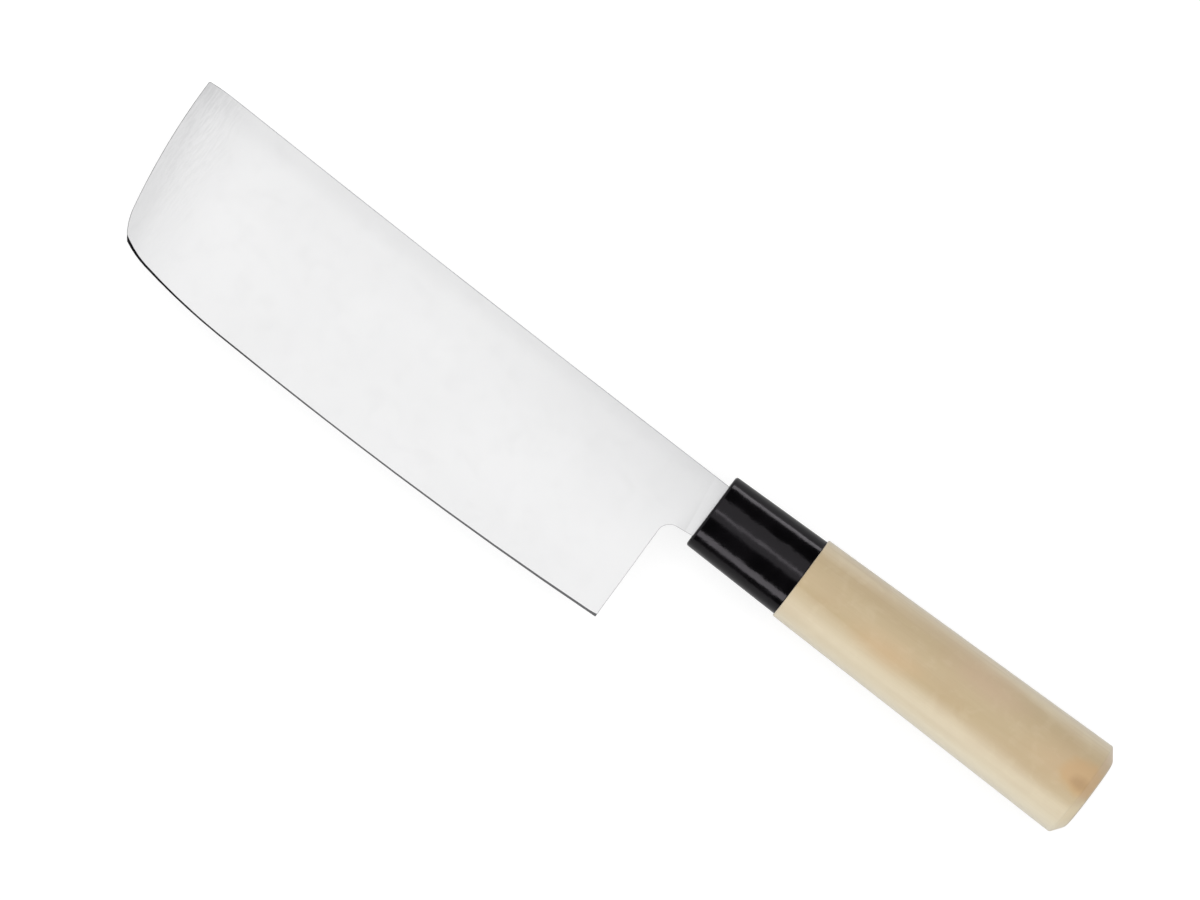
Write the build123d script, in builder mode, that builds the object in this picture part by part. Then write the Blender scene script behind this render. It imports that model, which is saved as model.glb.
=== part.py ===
import os
from math import radians, tan

from build123d import *

# A nakiri: a double-bevelled vegetable knife whose hidden tang sits in an oval wooden handle.
# It lies on its side. +X runs to the tip, +Y to the cutting edge, +Z up out of one side.
# Sizes are millimetres. Places in an outline are counted from the middle of the ferrule's
# front face: forward along the knife, and from the handle's axis towards the cutting edge.

# Blade, seen from its side
blade_length = 165.0
heel_gap = 7.55
spine_above_axis = 7.8
spine_rise = 3.15
spine_bow = 0.4
edge_below_axis = 42.2
heel_lift = 1.7
toe_lift = 6.4
toe_setback = 7.95
tip_above_axis = 10.65
tip_ease_length = 7.6
tip_corner_radius = 0.5
front_lean = 3.95

# Where the arcs of the outline meet: along the edge from the heel, and down the front.
# The lifts there are shares of the toe's lift.
belly_share = 0.39
edge_turn_share = 0.748
edge_turn_lift_share = 0.173
toe_turn_share = 0.906
toe_turn_lift_share = 0.61
front_turn_share = 0.828

# Neck, notch behind the heel, and hidden tang
neck_below_axis = 8.3
neck_drop = 0.95
notch_radius = 3.6
heel_back_lean = 0.5
tang_length = 92.0
tang_top_above_axis = 5.2
tang_bottom_below_axis = 5.8
tang_end_height = 6.4
tang_end_radius = 2.0

# Blade, seen along its length
neck_thickness = 2.4
spine_thickness = 1.9
tip_spine_thickness = 1.8
heel_edge_thickness = 0.3
plunge_radius = 60.0
plunge_end = 10.0
bevel_angle = 14.0
outline_ease_radius = 0.1

# Ferrule, a moulded sleeve that is closed at its front but for the slot of the neck
ferrule_length = 29.3
ferrule_front_height = 22.15
ferrule_front_thickness = 17.7
ferrule_back_height = 23.35
ferrule_back_thickness = 18.8
ferrule_front_wall = 3.0
ferrule_side_wall = 1.5
ferrule_rim_radius = 0.7
ferrule_back_radius = 0.2

# Handle, one piece of wood with its front turned down to a tenon
wood_length = 94.6
wood_front_height = 24.6
wood_front_thickness = 20.0
butt_height = 27.9
butt_thickness = 22.4
wood_front_radius = 0.35
butt_chamfer_length = 2.7
butt_chamfer_depth = 3.6
butt_ridge_radius = 0.8
butt_face_radius = 3.0
tenon_lead = 0.6

# Fits
tenon_clearance = 0.1
neck_slot_clearance = 0.3
tang_slot_clearance = 0.45
bedding_recess = 0.3
cut_overrun = 2.0

# The origin is under the middle of the whole knife, on the surface that it lies on.
blade_reach = heel_gap + blade_length
grip_length = ferrule_length + wood_length
face_x = (grip_length - blade_reach) / 2
axis_y = (butt_height / 2 - edge_below_axis) / 2
axis_z = butt_thickness / 2
middle = Plane(origin=(face_x, axis_y, axis_z))


def across(behind_face):
    """Plane square to the handle, at a distance behind the ferrule's front face.

    Its first axis points to the cutting edge, and it looks back to the butt.
    """
    origin = (face_x - behind_face, axis_y, axis_z)
    return Plane(origin=origin, x_dir=(0, 1, 0), z_dir=(-1, 0, 0))


# Corners of the blade's outline and the places where its arcs meet
neck_top = (0, -spine_above_axis)
spine_turn = (blade_reach - tip_ease_length, -spine_above_axis - spine_rise)
spine_middle = (spine_turn[0] / 2, -spine_above_axis - spine_rise / 2 + spine_bow)
tip = (blade_reach, -tip_above_axis)
toe = (blade_reach - toe_setback, edge_below_axis - toe_lift)
front_turn = (blade_reach - front_lean, tip[1] + (toe[1] - tip[1]) * front_turn_share)
toe_turn = (
    heel_gap + blade_length * toe_turn_share,
    edge_below_axis - toe_lift * toe_turn_lift_share,
)
edge_turn = (
    heel_gap + blade_length * edge_turn_share,
    edge_below_axis - toe_lift * edge_turn_lift_share,
)
belly = (heel_gap + blade_length * belly_share, edge_below_axis)
heel = (heel_gap, edge_below_axis - heel_lift)
notch = (heel_gap + heel_back_lean, neck_below_axis + neck_drop)
neck_bottom = (0, neck_below_axis)
neck_bottom_shoulder = (-ferrule_front_wall, neck_below_axis)
neck_top_shoulder = (-ferrule_front_wall, -spine_above_axis)

# Corners of the tang, from its top at the shoulders to its bottom there
tang_end_middle = (tang_bottom_below_axis - tang_top_above_axis) / 2
tang_end_x = -ferrule_front_wall - tang_length
tang_corners = [
    (-ferrule_front_wall, -tang_top_above_axis),
    (tang_end_x, tang_end_middle - tang_end_height / 2),
    (tang_end_x, tang_end_middle + tang_end_height / 2),
    (-ferrule_front_wall, tang_bottom_below_axis),
]

# The sides of the blade lean in towards the edge, and a little towards the tip.
half_neck = neck_thickness / 2
half_spine = spine_thickness / 2
side_fall = (half_spine - heel_edge_thickness / 2) / (heel[1] + spine_above_axis)
tip_fall = (spine_thickness - tip_spine_thickness) / 2 / blade_length


def draw_cutting_edge():
    """Draw the cutting edge as arcs that run into each other, and give its two end arcs.

    Each end arc runs away from the belly, one to the heel and one to the toe.
    """
    forward = TangentArc(belly, edge_turn, tangent=(1, 0))
    turning = TangentArc(edge_turn, toe_turn, tangent=forward % 1)
    to_toe = TangentArc(toe_turn, toe, tangent=turning % 1)
    to_heel = TangentArc(belly, heel, tangent=(-1, 0))
    return to_heel, to_toe


# Blade: one plate with its neck and tang, ground on both sides and bevelled to its edge
with BuildPart() as blade:
    with BuildSketch(middle):
        with BuildLine():
            spine = ThreePointArc(neck_top, spine_middle, spine_turn)
            TangentArc(spine_turn, tip, tangent=spine % 1)
            front = TangentArc(tip, front_turn, tangent=(0, 1))
            TangentArc(front_turn, toe, tangent=front % 1)
            draw_cutting_edge()
            FilletPolyline(heel, notch, neck_bottom, radius=notch_radius)
            Polyline(neck_top, neck_top_shoulder, *tang_corners, neck_bottom_shoulder, neck_bottom)
        make_face()
    extrude(amount=half_neck, both=True)
    corners = blade.edges().filter_by(Axis.Z)
    fillet(corners.group_by(Axis.X)[0], radius=tang_end_radius)
    fillet(corners.sort_by(Axis.X)[-1], radius=tip_corner_radius)

    # The flat grind of the upper side, and the round run-out that the wheel leaves at the neck.
    # Its profile is drawn beyond the spine and runs down over the blade as the side leans in.
    beyond_spine = spine_rise + cut_overrun
    grind_height = half_spine + side_fall * beyond_spine
    plunge = (plunge_end, grind_height)
    plunge_run = (2 * plunge_radius * neck_thickness - neck_thickness**2) ** 0.5
    plunge_top = (plunge_end - plunge_run, grind_height + neck_thickness)
    grind_end_x = blade_reach + cut_overrun
    grind_end = (grind_end_x, grind_height - tip_fall * (grind_end_x - plunge_end))
    grind_top = grind_height + neck_thickness + cut_overrun
    grind_origin = (face_x, axis_y - spine_above_axis - beyond_spine, axis_z)
    with BuildSketch(Plane(origin=grind_origin, x_dir=(1, 0, 0), z_dir=(0, -1, 0))):
        with BuildLine():
            Line(grind_end, plunge)
            TangentArc(plunge, plunge_top, tangent=(-1, tip_fall))
            Polyline(plunge_top, (plunge_top[0], grind_top), (grind_end_x, grind_top), grind_end)
        make_face()
    grind_length = beyond_spine + spine_above_axis + edge_below_axis + cut_overrun
    extrude(amount=grind_length, dir=(0, 1, -side_fall), mode=Mode.SUBTRACT)

    # The edge bevel of the upper side, run on past the heel and the toe
    with BuildLine() as bevel_line:
        to_heel, to_toe = draw_cutting_edge()
        past_heel = Line(heel, Vector(heel) + (to_heel % 1) * cut_overrun)
        Line(toe, Vector(toe) + (to_toe % 1) * cut_overrun)
    bevel_start = middle.from_local_coords(past_heel @ 1)
    heelward = to_heel % 1
    outward = (heelward.Y, -heelward.X)
    bevel_reach = half_neck / tan(radians(bevel_angle))
    with BuildSketch(Plane(origin=bevel_start, x_dir=outward, z_dir=-heelward)):
        with BuildLine():
            Polyline(
                (0, 0),
                (-bevel_reach, half_neck),
                (-bevel_reach, neck_thickness),
                (cut_overrun, neck_thickness),
                (cut_overrun, 0),
                (0, 0),
            )
        make_face()
    sweep(path=middle.from_local_coords(bevel_line.wires()[0]), mode=Mode.SUBTRACT)

    # The lower side is ground as the upper one is, and the edges of the spine are eased, on
    # round the tip and down the front.
    mirror(about=middle, mode=Mode.INTERSECT)
    spine_faces = blade.faces().filter_by_position(
        Axis.Y,
        axis_y - spine_above_axis - beyond_spine,
        axis_y - spine_above_axis,
        inclusive=(True, False),
    )
    outline_edges = spine_faces.edges().filter_by(
        lambda edge: abs(edge.center().Z - axis_z) > half_spine / 2
    )
    fillet(outline_edges, radius=outline_ease_radius)

# Ferrule: an oval sleeve with a deep bore for the tenon and a slot for the neck
neck_height = spine_above_axis + neck_below_axis
neck_middle = (neck_below_axis - spine_above_axis) / 2
neck_slot_height = neck_height + 2 * neck_slot_clearance
neck_slot_thickness = neck_thickness + 2 * neck_slot_clearance
bore_height = ferrule_front_height - 2 * ferrule_side_wall
bore_thickness = ferrule_front_thickness - 2 * ferrule_side_wall
tenon_length = ferrule_length - ferrule_front_wall

with BuildPart() as ferrule:
    with BuildSketch(across(0)):
        Ellipse(ferrule_front_height / 2, ferrule_front_thickness / 2)
    with BuildSketch(across(ferrule_length)):
        Ellipse(ferrule_back_height / 2, ferrule_back_thickness / 2)
    loft(ruled=True)
    rims = ferrule.edges().sort_by(Axis.X)
    fillet(rims[-1], radius=ferrule_rim_radius)
    fillet(rims[0], radius=ferrule_back_radius)
    with BuildSketch(across(ferrule_front_wall)):
        Ellipse(bore_height / 2, bore_thickness / 2)
    extrude(amount=tenon_length, mode=Mode.SUBTRACT)
    with BuildSketch(across(0)):
        with Locations((neck_middle, 0)):
            Rectangle(neck_slot_height, neck_slot_thickness)
    extrude(amount=ferrule_front_wall, mode=Mode.SUBTRACT)

# Shape of the long tapered hole that takes the tang with its clearance all round
with BuildSketch(middle) as tang_slot:
    with BuildLine():
        Polyline(*tang_corners, tang_corners[0])
    make_face()
    offset(amount=tang_slot_clearance, kind=Kind.INTERSECTION)
tang_slot_half = half_neck + tang_slot_clearance

# Handle: an oval that widens to the butt, with a chamfered end, a tenon and the tang's slot
with BuildPart() as handle:
    with BuildSketch(across(ferrule_length)):
        Ellipse(wood_front_height / 2, wood_front_thickness / 2)
    with BuildSketch(across(grip_length - butt_chamfer_length)):
        Ellipse(butt_height / 2, butt_thickness / 2)
    with BuildSketch(across(grip_length)):
        Ellipse(butt_height / 2 - butt_chamfer_depth, butt_thickness / 2 - butt_chamfer_depth)
    loft(ruled=True)
    ridge = handle.edges().filter_by(GeomType.ELLIPSE).sort_by(Axis.X)[1]
    fillet(ridge, radius=butt_ridge_radius)
    fillet(handle.faces().sort_by(Axis.X)[0].edges(), radius=butt_face_radius)
    fillet(handle.faces().sort_by(Axis.X)[-1].edges(), radius=wood_front_radius)
    with BuildSketch(across(ferrule_front_wall)):
        Ellipse(bore_height / 2 - tenon_clearance, bore_thickness / 2 - tenon_clearance)
    extrude(amount=tenon_length)
    tenon_end = handle.faces().sort_by(Axis.X)[-1]
    chamfer(tenon_end.edges(), length=tenon_lead)
    extrude(tang_slot.sketch, amount=tang_slot_half, both=True, mode=Mode.SUBTRACT)

# Bedding: the resin that fills the slots around the tang and the neck
with BuildPart() as tang_bedding:
    extrude(tang_slot.sketch, amount=tang_slot_half, both=True)
    split(bisect_by=across(ferrule_front_wall), keep=Keep.TOP)
    with BuildSketch(across(bedding_recess)):
        with Locations((neck_middle, 0)):
            Rectangle(neck_slot_height, neck_slot_thickness)
    extrude(amount=ferrule_front_wall - bedding_recess)
    add(blade.part, mode=Mode.SUBTRACT)

os.makedirs("parts", exist_ok=True)
blade.part.label = "blade"
export_step(blade.part, "parts/blade.step")
ferrule.part.label = "ferrule"
export_step(ferrule.part, "parts/ferrule.step")
handle.part.label = "handle"
export_step(handle.part, "parts/handle.step")
tang_bedding.part.label = "tang_bedding"
export_step(tang_bedding.part, "parts/tang_bedding.step")
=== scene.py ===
from math import cos, pi, radians, sin, tan

import bpy
from mathutils import Matrix, Vector


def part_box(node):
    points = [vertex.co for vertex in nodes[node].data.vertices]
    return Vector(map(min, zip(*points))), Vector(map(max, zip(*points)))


# A nakiri on its side on a white table: +X to the tip, +Y to the cutting edge, +Z up.
# Everything is in metres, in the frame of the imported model.
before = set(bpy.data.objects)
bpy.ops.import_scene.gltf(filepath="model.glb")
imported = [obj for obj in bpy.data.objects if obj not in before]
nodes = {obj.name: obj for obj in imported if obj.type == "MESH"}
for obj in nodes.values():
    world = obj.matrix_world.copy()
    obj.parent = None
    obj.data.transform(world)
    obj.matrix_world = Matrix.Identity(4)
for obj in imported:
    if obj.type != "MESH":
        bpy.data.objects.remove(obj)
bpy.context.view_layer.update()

# Places that the finishes and the lamps are set out from
ferrule_low, ferrule_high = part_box("ferrule")
wood_low, wood_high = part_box("handle")
blade_low, blade_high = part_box("blade")
AXIS_Y = (ferrule_low.y + ferrule_high.y) / 2
AXIS_Z = (ferrule_low.z + ferrule_high.z) / 2
FACE_X = ferrule_high.x
BUTT_X = wood_low.x
WOOD_TOP_Z = wood_high.z
TIP_X = blade_high.x
SPINE_Y = blade_low.y

# The blade's front leans back by this share of the distance from its spine.
FRONT_LEAN_SHARE = 0.155

WHITE = (1.0, 1.0, 1.0, 1.0)


# Node helpers

def add_node(tree, kind, settings=None, inputs=None):
    """Add a node, set its own options, and set or link its inputs by name or number."""
    node = tree.nodes.new(kind)
    for name, value in (settings or {}).items():
        setattr(node, name, value)
    for name, value in (inputs or {}).items():
        if isinstance(value, bpy.types.NodeSocket):
            tree.links.new(value, node.inputs[name])
        else:
            node.inputs[name].default_value = value
    return node


def maths(tree, operation, first, second=0.0, clamp=False):
    """A Math node's output; each input is a number or another node's output."""
    settings = {"operation": operation, "use_clamp": clamp}
    return add_node(tree, "ShaderNodeMath", settings, {0: first, 1: second}).outputs[0]


def vector_maths(tree, operation, first, second=(0.0, 0.0, 0.0)):
    """A Vector Math node's outputs, of which its operation fills either Vector or Value."""
    return add_node(tree, "ShaderNodeVectorMath", {"operation": operation}, {0: first, 1: second}).outputs


def split(tree, vector):
    """A vector's X, Y and Z."""
    return add_node(tree, "ShaderNodeSeparateXYZ", None, {0: vector}).outputs


def spread(tree, value, low, high, to_low=0.0, to_high=1.0, smooth=True):
    """Map a value's range on to another, held at both ends."""
    settings = {"interpolation_type": "SMOOTHSTEP" if smooth else "LINEAR", "clamp": True}
    inputs = {"Value": value, "From Min": low, "From Max": high, "To Min": to_low, "To Max": to_high}
    return add_node(tree, "ShaderNodeMapRange", settings, inputs).outputs["Result"]


def fade(tree, value, start, end, strength=1.0):
    """A strength that falls to nothing as a value goes from the start to the end."""
    return spread(tree, value, start, end, strength, 0.0)


def tint(tree, share, first, second, blend="MIX"):
    """Mix two colours by a share. A Mix node takes colours at inputs 6 and 7 and gives one at output 2."""
    settings = {"data_type": "RGBA", "blend_type": blend}
    return add_node(tree, "ShaderNodeMix", settings, {0: share, 6: first, 7: second}).outputs[2]


def glossy_or_through(tree, path):
    """One for a ray that gloss sends back or something clear lets through, else nothing."""
    return maths(tree, "ADD", path["Is Glossy Ray"], path["Is Transmission Ray"], clamp=True)


def start_group(name, inputs, outputs):
    """Begin a node group. Each input is a (name, socket type, value), each output a (name, socket type)."""
    group = bpy.data.node_groups.new(name, "ShaderNodeTree")
    for label, kind, value in inputs:
        socket = group.interface.new_socket(label, in_out="INPUT", socket_type=kind)
        if value is not None:
            socket.default_value = value
    for label, kind in outputs:
        group.interface.new_socket(label, in_out="OUTPUT", socket_type=kind)
    given = group.nodes.new("NodeGroupInput")
    result = group.nodes.new("NodeGroupOutput")
    return group, given.outputs, result.inputs


def use_group(tree, group, inputs):
    """Place a group in a tree, with its inputs set or linked."""
    return add_node(tree, "ShaderNodeGroup", {"node_tree": group}, inputs).outputs


# Shared effects

def build_fine_lines():
    """Fine parallel lines, as a wheel, sandpaper or wood grain leaves them."""
    group, given, result = start_group(
        "fine_lines",
        [("Vector", "NodeSocketVector", None), ("Per Metre", "NodeSocketVector", (1.0, 1.0, 1.0)),
         ("Detail", "NodeSocketFloat", 3.0)],
        [("Height", "NodeSocketFloat")],
    )
    placed = vector_maths(group, "MULTIPLY", given["Vector"], given["Per Metre"])["Vector"]
    noise = add_node(group, "ShaderNodeTexNoise", {"noise_dimensions": "3D"},
                     {"Vector": placed, "Scale": 1.0, "Detail": given["Detail"], "Roughness": 0.6})
    group.links.new(noise.outputs["Fac"], result["Height"])
    return group


def build_handling():
    """Faint uneven patches from wiping and holding, as a value round one half."""
    group, given, result = start_group(
        "handling_marks",
        [("Vector", "NodeSocketVector", None), ("Size", "NodeSocketFloat", 0.02)],
        [("Patches", "NodeSocketFloat")],
    )
    scale = maths(group, "DIVIDE", 1.0, given["Size"])
    noise = add_node(group, "ShaderNodeTexNoise", {"noise_dimensions": "3D"},
                     {"Vector": given["Vector"], "Scale": scale, "Detail": 4.0, "Distortion": 0.6})
    group.links.new(noise.outputs["Fac"], result["Patches"])
    return group


def build_soft_spot():
    """How far out a place lies in a stain or knot with a wandering edge, from 0 at its centre to 1."""
    group, given, result = start_group(
        "soft_spot",
        [("Vector", "NodeSocketVector", None), ("Centre", "NodeSocketVector", None),
         ("Reach", "NodeSocketVector", (0.01, 0.01, 0.01)), ("Wander", "NodeSocketFloat", 0.25)],
        [("Distance", "NodeSocketFloat")],
    )
    away = vector_maths(group, "SUBTRACT", given["Vector"], given["Centre"])["Vector"]
    shares = vector_maths(group, "DIVIDE", away, given["Reach"])["Vector"]
    noise = add_node(group, "ShaderNodeTexNoise", {"noise_dimensions": "3D"},
                     {"Vector": shares, "Scale": 1.6, "Detail": 3.0}).outputs["Fac"]
    length = vector_maths(group, "LENGTH", shares)["Value"]
    shift = maths(group, "MULTIPLY", maths(group, "SUBTRACT", noise, 0.5), given["Wander"])
    group.links.new(maths(group, "ADD", length, shift), result["Distance"])
    return group


fine_lines = build_fine_lines()
handling_marks = build_handling()
soft_spot = build_soft_spot()


def add_lines(tree, at, per_metre, detail=3.0):
    """Fine lines, with so many to the metre along each axis."""
    return use_group(tree, fine_lines, {"Vector": at, "Per Metre": per_metre, "Detail": detail})["Height"]


def add_patches(tree, at, size):
    """Uneven patches of about this size."""
    return use_group(tree, handling_marks, {"Vector": at, "Size": size})["Patches"]


def start_material(name):
    """A new material with its tree, its shader and the node that gives its coordinates."""
    material = bpy.data.materials.new(name)
    material.use_nodes = True
    tree = material.node_tree
    shader = tree.nodes["Principled BSDF"]
    place = tree.nodes.new("ShaderNodeTexCoord")
    return material, tree, shader, place


def give_bump(tree, shader, height, strength, depth):
    inputs = {"Height": height, "Strength": strength, "Distance": depth}
    bump = add_node(tree, "ShaderNodeBump", None, inputs)
    tree.links.new(bump.outputs["Normal"], shader.inputs["Normal"])


# Finishes

def make_blade_steel():
    bright_satin = (0.760, 0.760, 0.763, 1.0)
    # The darker satin is painted shade.
    painted_shade_satin = (0.522, 0.522, 0.530, 1.0)
    # The four greys below are painted shade on the arrises, the spine and front faces and the edge bevel.
    arris_shade_grey = (0.130, 0.130, 0.135, 1.0)
    narrow_face_shade_grey = (0.420, 0.420, 0.430, 1.0)
    bevel_shade_grey = (0.160, 0.160, 0.165, 1.0)
    bevel_shade_dark = (0.016, 0.016, 0.017, 1.0)
    arris_width = 0.0004

    material, tree, shader, place = start_material("satin_blade_steel")
    at = place.outputs["Object"]
    lines = add_lines(tree, at, (5200.0, 55.0, 300.0))
    hairs = add_lines(tree, at, (2000.0, 260.0, 300.0))
    patches = add_patches(tree, at, 0.03)
    clouds = add_patches(tree, at, 0.006)

    # How squarely a face looks up or down: the broad sides 1, the edge bevel 0.97, spine and front 0
    facing = maths(tree, "ABSOLUTE", split(tree, place.outputs["Normal"])["Z"])
    narrow_face = fade(tree, facing, 0.20, 0.45)
    bevel = maths(tree, "MULTIPLY", spread(tree, facing, 0.80, 0.90), fade(tree, facing, 0.975, 0.99))
    eased = add_node(tree, "ShaderNodeBevel", {"samples": 8}, {"Radius": arris_width}).outputs["Normal"]
    arris = fade(tree, maths(tree, "ABSOLUTE", split(tree, eased)["Z"]), 0.80, 0.95)

    # Distances from the spine, from the ferrule and from the leaning front
    sides = split(tree, at)
    from_spine = maths(tree, "SUBTRACT", sides["Y"], SPINE_Y)
    from_ferrule = maths(tree, "SUBTRACT", sides["X"], FACE_X)
    leaning = maths(tree, "ADD", sides["X"], maths(tree, "MULTIPLY", from_spine, FRONT_LEAN_SHARE))
    from_front = maths(tree, "SUBTRACT", TIP_X, leaning)

    # Painted shade: the satin's colour darkens along the spine, towards the front and by the neck, standing
    # in for the darker reflections there.
    spine = maths(tree, "ADD", fade(tree, from_spine, 0.002, 0.009, 0.20),
                  fade(tree, from_spine, 0.002, 0.024, 0.11))
    front = maths(tree, "ADD", fade(tree, from_front, 0.0, 0.022, 0.27),
                  fade(tree, from_front, 0.0, 0.006, 0.22))
    neck = maths(tree, "MULTIPLY", fade(tree, from_ferrule, 0.0, 0.085, 0.32),
                 fade(tree, from_spine, 0.006, 0.036))
    neck = maths(tree, "ADD", neck, fade(tree, from_ferrule, 0.001, 0.005, 0.16))
    painted_shade = maths(tree, "ADD", maths(tree, "ADD", spine, front), neck, clamp=True)
    colour = tint(tree, painted_shade, bright_satin, painted_shade_satin)

    # Grinding streaks all over, worn hairs towards the front, and faint clouds
    worn = maths(tree, "MULTIPLY", spread(tree, hairs, 0.42, 0.60),
                 spread(tree, front, 0.01, 0.30, 0.0, 0.06))
    worn = maths(tree, "MULTIPLY", worn, spread(tree, from_spine, 0.004, 0.040, 1.0, 0.25))
    worn = maths(tree, "ADD", worn, spread(tree, clouds, 0.45, 0.75, 0.0, 0.018))
    streaks = maths(tree, "SUBTRACT", spread(tree, lines, 0.3, 0.7, 0.98, 1.0, smooth=False), worn)
    colour = tint(tree, 1.0, colour, streaks, "MULTIPLY")

    # Painted shade: dark arrises, grey spine and front faces, and an edge bevel painted dark that darkens
    # further towards the tip, all standing in for the darker reflections there
    colour = tint(tree, arris, colour, arris_shade_grey)
    colour = tint(tree, narrow_face, colour, narrow_face_shade_grey)
    painted_bevel_shade = tint(tree, spread(tree, from_front, 0.010, 0.070), bevel_shade_dark, bevel_shade_grey)
    colour = tint(tree, bevel, colour, painted_bevel_shade)
    tree.links.new(colour, shader.inputs["Base Color"])

    # The bevel is polished, and the arrises are duller than the sides.
    rough = spread(tree, lines, 0.25, 0.75, 0.17, 0.21, smooth=False)
    rough = maths(tree, "ADD", rough, spread(tree, patches, 0.35, 0.65, -0.01, 0.015))
    rough = maths(tree, "ADD", rough, maths(tree, "MULTIPLY", bevel, -0.10))
    rough = maths(tree, "ADD", rough, maths(tree, "MULTIPLY", arris, 0.25))
    tree.links.new(rough, shader.inputs["Roughness"])
    shader.inputs["Metallic"].default_value = 1.0
    give_bump(tree, shader, lines, strength=0.15, depth=0.000003)
    return material


def make_ferrule_resin():
    black = (0.0012, 0.0011, 0.0013, 1.0)
    worn_black = (0.0024, 0.0021, 0.0026, 1.0)

    material, tree, shader, place = start_material("black_gloss_resin")
    at = place.outputs["Object"]
    patches = add_patches(tree, at, 0.008)
    scuffs = add_lines(tree, at, (60.0, 2600.0, 2600.0))
    colour = tint(tree, spread(tree, patches, 0.3, 0.7), black, worn_black)
    tree.links.new(colour, shader.inputs["Base Color"])
    rough = spread(tree, patches, 0.35, 0.7, 0.13, 0.19)
    rough = maths(tree, "ADD", rough, spread(tree, scuffs, 0.62, 0.75, 0.0, 0.10))
    tree.links.new(rough, shader.inputs["Roughness"])
    shader.inputs["Specular IOR Level"].default_value = 0.23
    shader.inputs["Specular Tint"].default_value = (0.98, 0.92, 1.0, 1.0)
    give_bump(tree, shader, patches, strength=0.26, depth=0.0006)
    return material


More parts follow.
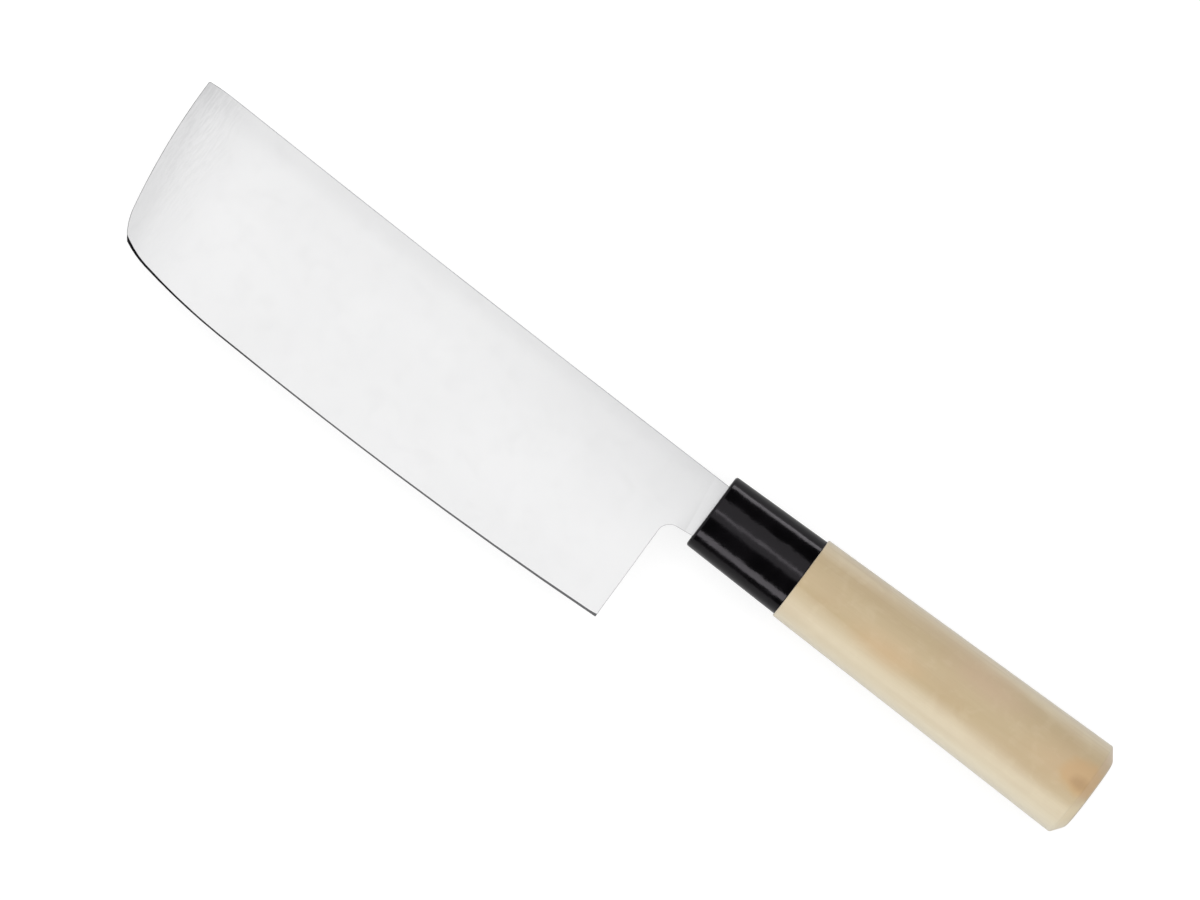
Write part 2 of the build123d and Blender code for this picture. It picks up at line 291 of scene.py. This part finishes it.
def make_handle_wood():
    plain_wood = (0.478, 0.367, 0.209, 1.0)
    late_ring = (0.460, 0.351, 0.196, 1.0)
    # This pale colour is painted light on the narrow sides.
    painted_edge_light = (0.725, 0.652, 0.485, 1.0)
    growth_line = (0.420, 0.305, 0.175, 1.0)
    # This pale chamfer colour is painted light.
    painted_light_on_chamfer = (0.740, 0.600, 0.350, 1.0)
    warm_cut = (0.620, 0.360, 0.120, 1.0)
    end_grain_pale = (0.520, 0.410, 0.260, 1.0)
    end_grain_dark = (0.420, 0.310, 0.180, 1.0)
    stain_depth = 0.012
    stain_below_top = 0.002
    ring_waver = 0.0018

    material, tree, shader, place = start_material("pale_plain_wood")
    at = place.outputs["Object"]
    grain = add_lines(tree, at, (22.0, 1500.0, 1500.0), detail=4.0)
    hairs = add_lines(tree, at, (60.0, 4200.0, 4200.0), detail=2.0)
    pores = add_lines(tree, at, (2600.0, 2600.0, 2600.0))
    rings = add_lines(tree, at, (9.0, 120.0, 90.0), detail=2.0)
    blotches = add_patches(tree, at, 0.022)
    flecks = add_patches(tree, at, 0.005)

    # Over the rings come marks that start and are full at two values of their noise, each with its
    # strength and colour.
    colour = tint(tree, spread(tree, rings, 0.35, 0.65), plain_wood, late_ring)
    for mark, start, full, strength, mark_colour in (
            (blotches, 0.46, 0.66, 0.60, (0.455, 0.323, 0.179, 1.0)),
            (flecks, 0.48, 0.68, 0.40, (0.540, 0.435, 0.268, 1.0)),
            (grain, 0.52, 0.72, 0.16, (0.460, 0.340, 0.200, 1.0)),
            (hairs, 0.45, 0.65, 0.20, (0.420, 0.310, 0.182, 1.0))):
        colour = tint(tree, spread(tree, mark, start, full, 0.0, strength), colour, mark_colour)

    # Painted light: a paler colour towards both narrow sides stands in for the light they catch, with a
    # border that wavers. It is palest on the edge side, where the light is strongest, and there it starts
    # farther out towards the ferrule.
    sides = split(tree, at)
    from_butt = maths(tree, "SUBTRACT", sides["X"], BUTT_X)
    from_axis = maths(tree, "SUBTRACT", sides["Y"], AXIS_Y)
    wavering = maths(tree, "ADD", from_axis, spread(tree, rings, 0.3, 0.7, -ring_waver, ring_waver))
    farther_out = maths(tree, "SUBTRACT", wavering, spread(tree, from_butt, 0.025, 0.060, 0.0, 0.0012))
    pale = maths(tree, "ADD", spread(tree, farther_out, 0.001, 0.0125, 0.0, 0.88, smooth=False),
                 fade(tree, wavering, -0.0145, -0.0080, 0.5))
    colour = tint(tree, pale, colour, painted_edge_light)

    # Fine darker lines of growth, clearest near the spine side
    growth = maths(tree, "MULTIPLY", spread(tree, grain, 0.50, 0.60),
                   spread(tree, wavering, -0.0110, -0.0040, 0.26, 0.05))
    colour = tint(tree, growth, colour, growth_line)

    # The butt's chamfer is cut across the grain. Painted light: on the edge side it is painted paler,
    # standing in for light falling on it.
    facing = split(tree, place.outputs["Normal"])["X"]
    chamfer = fade(tree, facing, -0.80, -0.45)
    painted_chamfer_light = maths(tree, "MULTIPLY", chamfer, spread(tree, wavering, 0.0, 0.006, 0.0, 0.6))
    colour = tint(tree, painted_chamfer_light, colour, painted_light_on_chamfer)

    # A warm stain towards the ferrule, a pinker one half way along, a wide faint one, and a knot by the
    # butt with a darker heart. Each has its place from the butt and from the axis, its reach along and
    # aside, the share of its reach that it fades over, its strength and its colour.
    for ahead, aside, reach_along, reach_aside, softness, strength, stain_colour in (
            (0.0654, 0.0020, 0.0180, 0.0060, 1.00, 0.50, (0.570, 0.380, 0.205, 1.0)),
            (0.0384, -0.0070, 0.0200, 0.0060, 1.00, 0.50, (0.545, 0.390, 0.265, 1.0)),
            (0.0120, -0.0020, 0.0180, 0.0090, 1.00, 0.42, (0.535, 0.370, 0.205, 1.0)),
            (0.0046, -0.0022, 0.0088, 0.0060, 0.45, 0.85, (0.500, 0.318, 0.145, 1.0)),
            (0.0045, -0.0008, 0.0042, 0.0030, 0.80, 0.80, (0.370, 0.225, 0.090, 1.0))):
        centre = (BUTT_X + ahead, AXIS_Y + aside, WOOD_TOP_Z - stain_below_top)
        reach = (reach_along, reach_aside, stain_depth)
        inputs = {"Vector": at, "Centre": centre, "Reach": reach, "Wander": 0.5}
        distance = use_group(tree, soft_spot, inputs)["Distance"]
        colour = tint(tree, fade(tree, distance, 1.0 - softness, 1.0, strength), colour, stain_colour)

    # The chamfer is warmer by the knot, and the butt's face is end grain.
    warmer = maths(tree, "MULTIPLY", chamfer, fade(tree, wavering, 0.0, 0.005, 0.32))
    colour = tint(tree, warmer, colour, warm_cut)
    butt_face = fade(tree, facing, -0.97, -0.80)
    end_grain = tint(tree, spread(tree, pores, 0.40, 0.65), end_grain_pale, end_grain_dark)
    colour = tint(tree, butt_face, colour, end_grain)
    tree.links.new(colour, shader.inputs["Base Color"])

    rough = spread(tree, grain, 0.3, 0.7, 0.38, 0.50, smooth=False)
    rough = maths(tree, "ADD", rough, maths(tree, "MULTIPLY", butt_face, 0.25))
    tree.links.new(rough, shader.inputs["Roughness"])
    shader.inputs["Specular IOR Level"].default_value = 0.5
    shader.inputs["Sheen Weight"].default_value = 0.5
    shader.inputs["Sheen Roughness"].default_value = 0.6
    give_bump(tree, shader, maths(tree, "ADD", grain, hairs), strength=0.25, depth=0.00005)
    return material


def make_bedding_resin():
    dark_resin = (0.020, 0.018, 0.016, 1.0)
    pale_resin = (0.045, 0.040, 0.034, 1.0)

    material, tree, shader, place = start_material("dull_bedding_resin")
    patches = add_patches(tree, place.outputs["Object"], 0.0015)
    colour = tint(tree, spread(tree, patches, 0.3, 0.7), dark_resin, pale_resin)
    tree.links.new(colour, shader.inputs["Base Color"])
    tree.links.new(spread(tree, patches, 0.3, 0.7, 0.5, 0.8), shader.inputs["Roughness"])
    give_bump(tree, shader, patches, strength=0.4, depth=0.0001)
    return material


for name, finish in (("blade", make_blade_steel()), ("ferrule", make_ferrule_resin()),
                     ("handle", make_handle_wood()), ("tang_bedding", make_bedding_resin())):
    nodes[name].material_slots[0].material = finish


# Table

def make_table():
    size = 8.0
    paint_grey = (0.34, 0.34, 0.34, 1.0)
    near = 0.3
    far = 1.0

    bpy.ops.object.select_all(action="DESELECT")
    bpy.ops.mesh.primitive_plane_add(size=size, location=(0.0, 0.0, 0.0))
    table = bpy.context.object
    table.name = "white_table"
    material = bpy.data.materials.new("white_table_paint")
    material.use_nodes = True
    tree = material.node_tree
    tree.nodes.clear()
    path = add_node(tree, "ShaderNodeLightPath").outputs
    place = add_node(tree, "ShaderNodeTexCoord").outputs["Object"]
    away = vector_maths(tree, "LENGTH", place)["Value"]

    # Its glow makes the table white to the camera and pale in gloss. It is weaker near the knife, where
    # the lamps light the table too.
    shown = maths(tree, "MULTIPLY", path["Is Camera Ray"], spread(tree, away, near, far, 0.78, 1.0))
    mirrored = maths(tree, "MULTIPLY", glossy_or_through(tree, path),
                     spread(tree, away, near, far, 0.33, 0.8))
    strength = maths(tree, "ADD", shown, mirrored)
    paint = add_node(tree, "ShaderNodeBsdfDiffuse", None, {"Color": paint_grey})
    glow = add_node(tree, "ShaderNodeEmission", None, {"Color": WHITE, "Strength": strength})
    both = add_node(tree, "ShaderNodeAddShader", None, {0: paint.outputs[0], 1: glow.outputs[0]})
    add_node(tree, "ShaderNodeOutputMaterial", None, {"Surface": both.outputs[0]})
    table.data.materials.append(material)


make_table()


# Light

# The overhead panel's two angles from straight up. The world's bright band lies between them too.
OVERHEAD_FROM = -40
OVERHEAD_TO = 11.5


def make_world(fill, overhead, ceiling, walls):
    """A white room to the camera and a soft fill. Gloss sees a bright band over the knife and pale
    walls ahead of it and behind it, with a dark ceiling between them."""
    band_rises = (radians(OVERHEAD_FROM - 1), radians(OVERHEAD_FROM + 1))
    band_falls = (radians(OVERHEAD_TO - 1), radians(OVERHEAD_TO + 0.5))
    walls_rise = (0.20, 0.30)

    world = bpy.data.worlds.new("studio")
    bpy.context.scene.world = world
    world.use_nodes = True
    tree = world.node_tree
    tree.nodes.clear()
    path = add_node(tree, "ShaderNodeLightPath").outputs
    along = split(tree, add_node(tree, "ShaderNodeTexCoord").outputs["Generated"])
    leaning = maths(tree, "ARCTAN2", along["Y"], along["Z"])
    band = maths(tree, "MULTIPLY", spread(tree, leaning, *band_rises, 0.0, overhead),
                 fade(tree, leaning, *band_falls))
    endwards = maths(tree, "ABSOLUTE", along["X"])
    band = maths(tree, "MULTIPLY", band, fade(tree, endwards, *walls_rise))
    room = maths(tree, "MAXIMUM", band, spread(tree, endwards, *walls_rise, ceiling, walls))
    mirrored = glossy_or_through(tree, path)
    others = maths(tree, "MULTIPLY", maths(tree, "SUBTRACT", 1.0, mirrored), fill)
    level = maths(tree, "ADD", maths(tree, "MULTIPLY", room, mirrored), others)
    level = maths(tree, "MAXIMUM", level, path["Is Camera Ray"])
    sky = add_node(tree, "ShaderNodeBackground", None, {"Color": WHITE, "Strength": level})
    add_node(tree, "ShaderNodeOutputWorld", None, {"Surface": sky.outputs[0]})


def add_softbox(name, from_angle, to_angle, distance, length, glow, along=0.0, bearing=0.0):
    """A long lamp, seen from the knife's axis between two angles from straight up.

    It stands towards the edge side, or the spine side at angles below zero, turned by the bearing
    towards the butt, and its middle is this far along the knife. Its glow is how bright its face is."""
    middle = radians((from_angle + to_angle) / 2)
    half = radians((to_angle - from_angle) / 2)
    turn = radians(bearing)
    away = Vector((-sin(middle) * sin(turn), sin(middle) * cos(turn), cos(middle)))
    bpy.ops.object.select_all(action="DESELECT")
    bpy.ops.object.light_add(type="AREA", location=Vector((along, AXIS_Y, AXIS_Z)) + away * distance)
    lamp = bpy.context.object
    lamp.name = name
    lamp.rotation_euler = (-middle, 0.0, turn)
    lamp.data.shape = "RECTANGLE"
    lamp.data.size = length
    lamp.data.size_y = 2 * distance * tan(half)
    lamp.data.energy = pi * length * lamp.data.size_y * glow
    lamp.visible_camera = False
    return lamp


def aim_only_at(lamp, pieces):
    """Let a lamp reach these pieces and nothing else, as cards held round them would."""
    reached = bpy.data.collections.new("reached_by_" + lamp.name)
    for piece in pieces:
        reached.objects.link(nodes[piece])
    lamp.light_linking.receiver_collection = reached


make_world(fill=0.05, overhead=1.23, ceiling=0.05, walls=1.0)

# Soft panels that light the wood and the table, and that gloss does not show.
# The numbers of each lamp are its two angles, its distance, its length and its glow.
soft = [add_softbox("overhead_panel", OVERHEAD_FROM, OVERHEAD_TO, 0.7, 1.2, 1.21)]
for end, bearing in (("butt", 50), ("tip", -50)):
    soft.append(add_softbox("edge_side_panel_at_the_" + end, 35, 92, 1.0, 1.0, 1.4, bearing=bearing))
    soft.append(add_softbox("spine_side_panel_at_the_" + end, -85, -35, 1.0, 1.0, 1.0, bearing=bearing))
for panel in soft:
    panel.visible_glossy = False

# Narrow strips over the ferrule that draw its bright lines
STRIP_X = -0.045
for name, from_angle, to_angle, distance, length, glow in (
        ("overhead_strip", -9.5, -4, 0.7, 0.3, 3.4),
        ("edge_side_strip", 52, 70, 0.5, 0.25, 4.6),
        ("spine_side_strip", -96, -80.5, 0.3, 0.15, 5.2)):
    strip = add_softbox(name, from_angle, to_angle, distance, length, glow, along=STRIP_X)
    aim_only_at(strip, ("ferrule", "handle", "tang_bedding"))

# Broad cards that keep the flat steel pale from either side
for name, from_angle, to_angle in (("edge_side_card", 15, 86), ("spine_side_card", -86, -40)):
    card = add_softbox(name, from_angle, to_angle, 3.0, 1.5, 0.9)
    aim_only_at(card, ("blade",))


# Camera, straight above the knife, which lies turned in the photograph

PHOTO_WIDTH = 0.3143
PHOTO_MIDDLE_X = 0.0085
PHOTO_MIDDLE_Y = -0.00923
PHOTO_TURN = radians(37)
CAMERA_AWAY = 2.5
RIGHT = Vector((-cos(PHOTO_TURN), -sin(PHOTO_TURN), 0.0))
UP = Vector((sin(PHOTO_TURN), -cos(PHOTO_TURN), 0.0))

bpy.ops.object.camera_add(location=(PHOTO_MIDDLE_X, PHOTO_MIDDLE_Y, AXIS_Z + CAMERA_AWAY))
camera = bpy.context.object
camera.name = "photo_camera"
camera.rotation_euler = Matrix((RIGHT, UP, RIGHT.cross(UP))).transposed().to_euler()
camera.data.sensor_width = 36.0
camera.data.lens = camera.data.sensor_width * CAMERA_AWAY / PHOTO_WIDTH
camera.data.clip_end = 20.0
bpy.context.scene.camera = camera
bpy.context.scene.view_settings.view_transform = "Standard"
